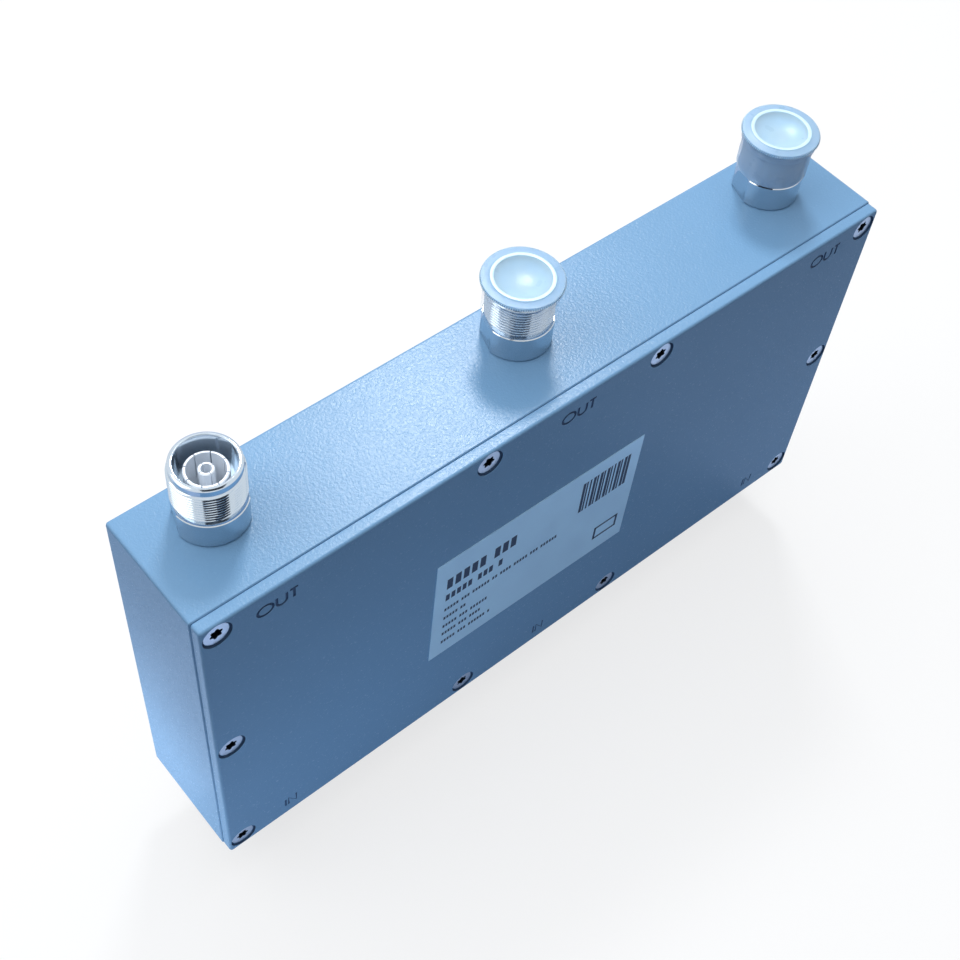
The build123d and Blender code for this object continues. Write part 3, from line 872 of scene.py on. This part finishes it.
class COMBINER_OT_fit_screws(bpy.types.Operator):
    """Fit the six-lobed cover screws"""

    bl_idname = "combiner.fit_screws"
    bl_label = "Fit Screws"

    def execute(self, context):
        scene = context.scene
        sizes, colours = scene.combiner_sizes, scene.combiner_colours
        mesh = screw_mesh(sizes)
        mesh.materials.append(zinc_plating(colours))
        mesh.materials.append(recess_painted_shade(colours))
        low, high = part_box("cover_screws")
        middles = [(x, z) for x, z, _ in screw_places(low, high, sizes)]
        # Faces deep in each recess take the darker zinc, painted shade for the hollow.
        for face in mesh.polygons:
            away = min(math.hypot(face.center.x - x, face.center.z - z) for x, z in middles)
            if away < sizes.screw_radius and face.center.y < low.y + 1.5 * sizes.recess_depth:
                face.material_index = 1
        object_from_mesh("cover_screws_lobed", mesh, None, ["cover_screws"])
        return {"FINISHED"}


class COMBINER_OT_turn_connectors(bpy.types.Operator):
    """Cut the coupling threads of the six connector bodies"""

    bl_idname = "combiner.turn_connectors"
    bl_label = "Turn Connectors"

    def execute(self, context):
        scene = context.scene
        colours = scene.combiner_colours
        plating = turned_plating("white_bronze_plating", colours.plating)
        handled = turned_plating("flats_reflection_tint_plating", colours.handled)
        for port in OUTPUTS + INPUTS:
            mesh = connector_mesh(port, scene.combiner_sizes)
            for finish in (plating, handled):
                mesh.materials.append(finish)
            name = f"{port}_threaded_body"
            object_from_mesh(name, mesh, None, [f"{port}_connector_body"], 35.0)
        return {"FINISHED"}


class COMBINER_OT_plate_contacts(bpy.types.Operator):
    """Plate the contacts and finish the beads and seals"""

    bl_idname = "combiner.plate_contacts"
    bl_label = "Plate Contacts"

    def execute(self, context):
        colours = context.scene.combiner_colours
        silver = shared_material(silver_plating, colours)
        bead = shared_material(turned_fluoropolymer, colours)
        rubber = shared_material(moulded_rubber, colours)
        for port in OUTPUTS + INPUTS:
            finish_node(f"{port}_outer_contact", silver)
            finish_node(f"{port}_center_contact", silver)
            finish_node(f"{port}_insulator", bead)
            finish_node(f"{port}_seal", rubber)
        return {"FINISHED"}


class COMBINER_OT_fit_dust_caps(bpy.types.Operator):
    """Mould the two dust caps: milky where thick, a paler dish as painted light, painted highlights on lip
    and teeth tips, half clear at the skirt
    """

    bl_idname = "combiner.fit_dust_caps"
    bl_label = "Fit Dust Caps"

    def execute(self, context):
        scene = context.scene
        sizes, colours = scene.combiner_sizes, scene.combiner_colours
        skirt_alpha = {"out_2": 0.10, "out_3": 0.46}
        thick = moulded_polyethylene("polyethylene_thick", colours.cap, 0.93, 3.5 * MM)
        # The dish: a paler copy of the cap, painted light on its shaded walls.
        dish = moulded_polyethylene("polyethylene_lit_dish", colours.dish, 0.96, 3.5 * MM)
        # Lips and teeth tips: painted highlight.
        highlighted = moulded_polyethylene("polyethylene_highlighted", colours.blush, 1.0, 0.3 * MM)
        for port, alpha in skirt_alpha.items():
            name = f"{port}_moulded_cap"
            angles = even_angles(sizes.cap_teeth * 4)
            vertices, faces = turned_form(dust_cap_rows(port, sizes), angles, closed=False)
            mesh = mesh_from_parts(name, vertices, faces)
            top = port_height(port, "dust_cap")[1]
            thin = moulded_polyethylene(f"polyethylene_skirt_{port}", colours.skirt, alpha, 0)
            for finish in (thick, thin, highlighted, dish):
                mesh.materials.append(finish)
            for face in mesh.polygons:
                face.material_index = cap_zone(face.center.xy.length, face.center.z, top, sizes)
            mesh.transform(port_place(port))
            object_from_mesh(name, mesh, None, [f"{port}_dust_cap"])
        return {"FINISHED"}


class COMBINER_OT_print_label(bpy.types.Operator):
    """Finish the label's film and print plain bars on it"""

    bl_idname = "combiner.print_label"
    bl_label = "Print Label"

    def execute(self, context):
        scene = context.scene
        film = shared_material(silvered_polyester, scene.combiner_colours)
        finish_node("label", film)
        ink = shared_material(thermal_ink, scene.combiner_colours)
        object_from_mesh("label_print", print_mesh(scene.combiner_sizes), ink)
        return {"FINISHED"}


class COMBINER_OT_finish_inside(bpy.types.Operator):
    """Finish the strips, combs, posts and gasket inside the box"""

    bl_idname = "combiner.finish_inside"
    bl_label = "Finish Inside"

    def execute(self, context):
        colours = context.scene.combiner_colours
        silver = shared_material(silver_plating, colours)
        bead = shared_material(turned_fluoropolymer, colours)
        for number in (1, 2, 3):
            finish_node(f"coupled_line_{number}", silver)
            finish_node(f"coupler_{number}_spacers", bead)
        finish_node("line_posts", bead)
        rubber = shared_material(moulded_rubber, colours)
        finish_node("cover_gasket", rubber)
        return {"FINISHED"}


def seen_directly(tree):
    """1 for a camera, mirror or clear ray, and 0 for the light that the surface throws on others."""
    path = add_node(tree, "ShaderNodeLightPath")
    total = path.outputs["Is Camera Ray"]
    for name in ("Is Glossy Ray", "Is Transmission Ray"):
        links = {0: total, 1: path.outputs[name]}
        total = add_node(tree, "ShaderNodeMath", {"operation": "MAXIMUM"}, links).outputs["Value"]
    return total


def floor_material(colours):
    """Matt white studio floor: lit paper that keeps the object's shadow and throws back little light."""
    material = bpy.data.materials.new("studio_floor")
    material.use_nodes = True
    material.cycles.emission_sampling = "NONE"
    tree = material.node_tree
    tree.nodes.clear()
    paper = add_node(tree, "ShaderNodeBsdfDiffuse", {"Color": colours.floor})
    white = add_node(tree, "ShaderNodeEmission", {"Strength": 1.0})
    dull = add_node(tree, "ShaderNodeBsdfDiffuse", {"Color": linear_colour("#7F8B99")})
    glow_share = 0.75
    links = {1: paper.outputs["BSDF"], 2: white.outputs["Emission"]}
    bright = add_node(tree, "ShaderNodeMixShader", {0: glow_share}, links)
    links = {0: seen_directly(tree), 1: dull.outputs["BSDF"], 2: bright.outputs["Shader"]}
    chosen = add_node(tree, "ShaderNodeMixShader", links=links)
    add_node(tree, "ShaderNodeOutputMaterial", links={"Surface": chosen.outputs["Shader"]})
    return material


def studio_world(scene):
    """White where it is seen, and a soft blue-white fill that is stronger from above."""
    world = bpy.data.worlds.new("studio")
    scene.world = world
    world.cycles.sampling_method = "NONE"
    world.use_nodes = True
    tree = world.node_tree
    tree.nodes.clear()
    white = add_node(tree, "ShaderNodeBackground", {"Strength": 1.0})
    white.inputs["Color"].default_value = (1, 1, 1, 1)
    place = add_node(tree, "ShaderNodeTexCoord")
    split = add_node(tree, "ShaderNodeSeparateXYZ", links={"Vector": place.outputs["Generated"]})
    below, above, skyline = 0.04, 0.13, 0.3
    settings = {"From Min": 0.0, "From Max": skyline, "To Min": below, "To Max": above}
    level = add_node(tree, "ShaderNodeMapRange", settings, {"Value": split.outputs["Z"]})
    settings = {"Color": linear_colour("#DCEBFF")}
    links = {"Strength": level.outputs["Result"]}
    fill = add_node(tree, "ShaderNodeBackground", settings, links)
    links = {0: seen_directly(tree), 1: fill.outputs["Background"], 2: white.outputs["Background"]}
    mix = add_node(tree, "ShaderNodeMixShader", links=links)
    add_node(tree, "ShaderNodeOutputWorld", links={"Surface": mix.outputs["Shader"]})


def aimed(piece, place, target):
    """Places a lamp or a card and turns its face to the target."""
    piece.location = place
    piece.rotation_mode = "QUATERNION"
    piece.rotation_quaternion = (Vector(place) - Vector(target)).to_track_quat("Z", "Y")


def spared(lamp, floor):
    """Keeps a low lamp that stands close to the box from drawing its edge on the floor."""
    unlit = bpy.data.collections.new(f"{lamp.name}_unlit")
    unlit.objects.link(floor)
    unlit.collection_objects[0].light_linking.link_state = "EXCLUDE"
    lamp.light_linking.receiver_collection = unlit


def soft_lamp(name, place, target, size, radiance, colour, mirrored):
    """A soft box of this width, height and radiance; gloss and metal show it only if it is mirrored."""
    light = bpy.data.lights.new(name, "AREA")
    light.shape = "RECTANGLE"
    light.size, light.size_y = size
    light.color = linear_colour(colour)[:3]
    light.energy = radiance * math.pi * size[0] * size[1]
    lamp = bpy.data.objects.new(name, light)
    lamp.visible_camera = False
    lamp.visible_glossy = mirrored
    aimed(lamp, place, target)
    bpy.context.scene.collection.objects.link(lamp)
    return lamp


def flat_sheet(name, half_x, half_y, level):
    """A level rectangle about the Z axis."""
    corners = [(-half_x, -half_y), (half_x, -half_y), (half_x, half_y), (-half_x, half_y)]
    mesh = bpy.data.meshes.new(name)
    mesh.from_pydata([(x, y, level) for x, y in corners], [], [(0, 1, 2, 3)])
    return mesh


def reflected_card(name, place, target, size, colour):
    """A card that only mirrors see, which gives the bright metal its darker bands."""
    mesh = flat_sheet(name, size[0] / 2, size[1] / 2, 0)
    settings = {"Base Color": linear_colour(colour), "Roughness": 0.9}
    mesh.materials.append(new_material(name, settings)[0])
    card = bpy.data.objects.new(name, mesh)
    aimed(card, place, target)
    for ray in ("camera", "diffuse", "transmission", "shadow"):
        setattr(card, f"visible_{ray}", False)
    bpy.context.scene.collection.objects.link(card)


def add_camera(scene):
    """Camera at the photograph's place, whose lens and heading were fitted to the box's corners."""
    lens = 57.56
    place_mm = Vector((-212.9, -195.3, 479.5))
    heading, dip, roll = math.radians(44.544), math.radians(53.443), math.radians(6.816)
    data = bpy.data.cameras.new("camera")
    data.sensor_width = 36.0
    data.lens = lens
    data.clip_start = 0.01
    camera = bpy.data.objects.new("camera", data)
    run = math.cos(dip)
    forward = Vector((math.cos(heading) * run, math.sin(heading) * run, -math.sin(dip)))
    level = forward.cross(Vector((0, 0, 1))).normalized()
    upright = level.cross(forward)
    right = level * math.cos(roll) + upright * math.sin(roll)
    up = right.cross(forward)
    turn = Matrix((right, up, -forward)).transposed().to_4x4()
    camera.matrix_world = Matrix.Translation(place_mm * MM) @ turn
    scene.collection.objects.link(camera)
    scene.camera = camera


class COMBINER_OT_set_stage(bpy.types.Operator):
    """Set the pale floor, the soft lamps, the mirrored cards, the white surroundings and the camera"""

    bl_idname = "combiner.set_stage"
    bl_label = "Set Stage"

    def execute(self, context):
        scene = context.scene
        floor_reach = 4.0
        mesh = flat_sheet("floor", floor_reach, floor_reach, CAD_BOUNDS[0].z)
        mesh.materials.append(floor_material(scene.combiner_colours))
        floor = bpy.data.objects.new("floor", mesh)
        scene.collection.objects.link(floor)
        middle = (CAD_BOUNDS[0] + CAD_BOUNDS[1]) / 2
        top = BOX_HIGH.z
        cool, neutral = "#D6E9FF", "#FFFFFF"
        high_lamps = (
            ("overhead_lamp", (-0.1, 0.2, 1.1), (0, 0, middle.z), (1.5, 1.5), 1.85, neutral, False),
            ("window_lamp", (0.466, 0.554, 1.09), (-0.038, -0.004, top), (0.22, 0.22), 40.0, neutral, True),
            ("side_lamp", (-0.54, 0.25, 0.66), (-0.103, 0, top), (0.5, 0.4), 1.6, neutral, True),
        )
        low_lamps = (
            ("low_front_lamp", (-0.135, -0.15, 0.02), (-0.135, 0, 0.03), (0.19, 0.05), 2.8, cool),
            ("low_left_lamp", (-0.17, 0.02, 0.035), (BOX_LOW.x, 0.02, 0.04), (0.10, 0.07), 1.9, neutral),
            ("low_right_lamp", (0.13, -0.15, 0.02), (0.10, 0, 0.03), (0.10, 0.05), 1.5, cool),
        )
        for values in high_lamps:
            soft_lamp(*values)
        for values in low_lamps:
            spared(soft_lamp(*values, mirrored=False), floor)
        reflected_card(
            "camera_side_card", (-0.125, -0.145, 0.48), (-0.05, 0, top), (0.27, 0.20), "#131C28"
        )
        reflected_card("table_card", (0, 0, 0.001), (0, 0, -1), (1.2, 1.2), "#A6BCDC")
        studio_world(scene)
        scene.view_settings.view_transform = "Standard"
        add_camera(scene)
        return {"FINISHED"}


class COMBINER_PT_panel(bpy.types.Panel):
    """Steps and values of the combiner's finish"""

    bl_label = "Combiner"
    bl_idname = "COMBINER_PT_panel"
    bl_space_type = "VIEW_3D"
    bl_region_type = "UI"
    bl_category = "Combiner"

    def draw(self, context):
        for operator in OPERATORS:
            self.layout.operator(operator.bl_idname)
        for group in (context.scene.combiner_sizes, context.scene.combiner_colours):
            for name in group.__annotations__:
                self.layout.prop(group, name)


OPERATORS = (
    COMBINER_OT_paint_box,
    COMBINER_OT_engrave_cover,
    COMBINER_OT_fit_screws,
    COMBINER_OT_turn_connectors,
    COMBINER_OT_plate_contacts,
    COMBINER_OT_fit_dust_caps,
    COMBINER_OT_print_label,
    COMBINER_OT_finish_inside,
    COMBINER_OT_set_stage,
)
CLASSES = (CombinerSizes, CombinerColours, *OPERATORS, COMBINER_PT_panel)


def register():
    for item in CLASSES:
        bpy.utils.register_class(item)
    bpy.types.Scene.combiner_sizes = bpy.props.PointerProperty(type=CombinerSizes)
    bpy.types.Scene.combiner_colours = bpy.props.PointerProperty(type=CombinerColours)


def unregister():
    del bpy.types.Scene.combiner_colours
    del bpy.types.Scene.combiner_sizes
    for item in reversed(CLASSES):
        bpy.utils.unregister_class(item)


def main():
    """Registers the classes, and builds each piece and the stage."""
    register()
    steps = bpy.ops.combiner
    steps.paint_box()
    steps.engrave_cover()
    steps.fit_screws()
    steps.turn_connectors()
    steps.plate_contacts()
    steps.fit_dust_caps()
    steps.print_label()
    steps.finish_inside()
    steps.set_stage()


if __name__ == "__main__":
    main()
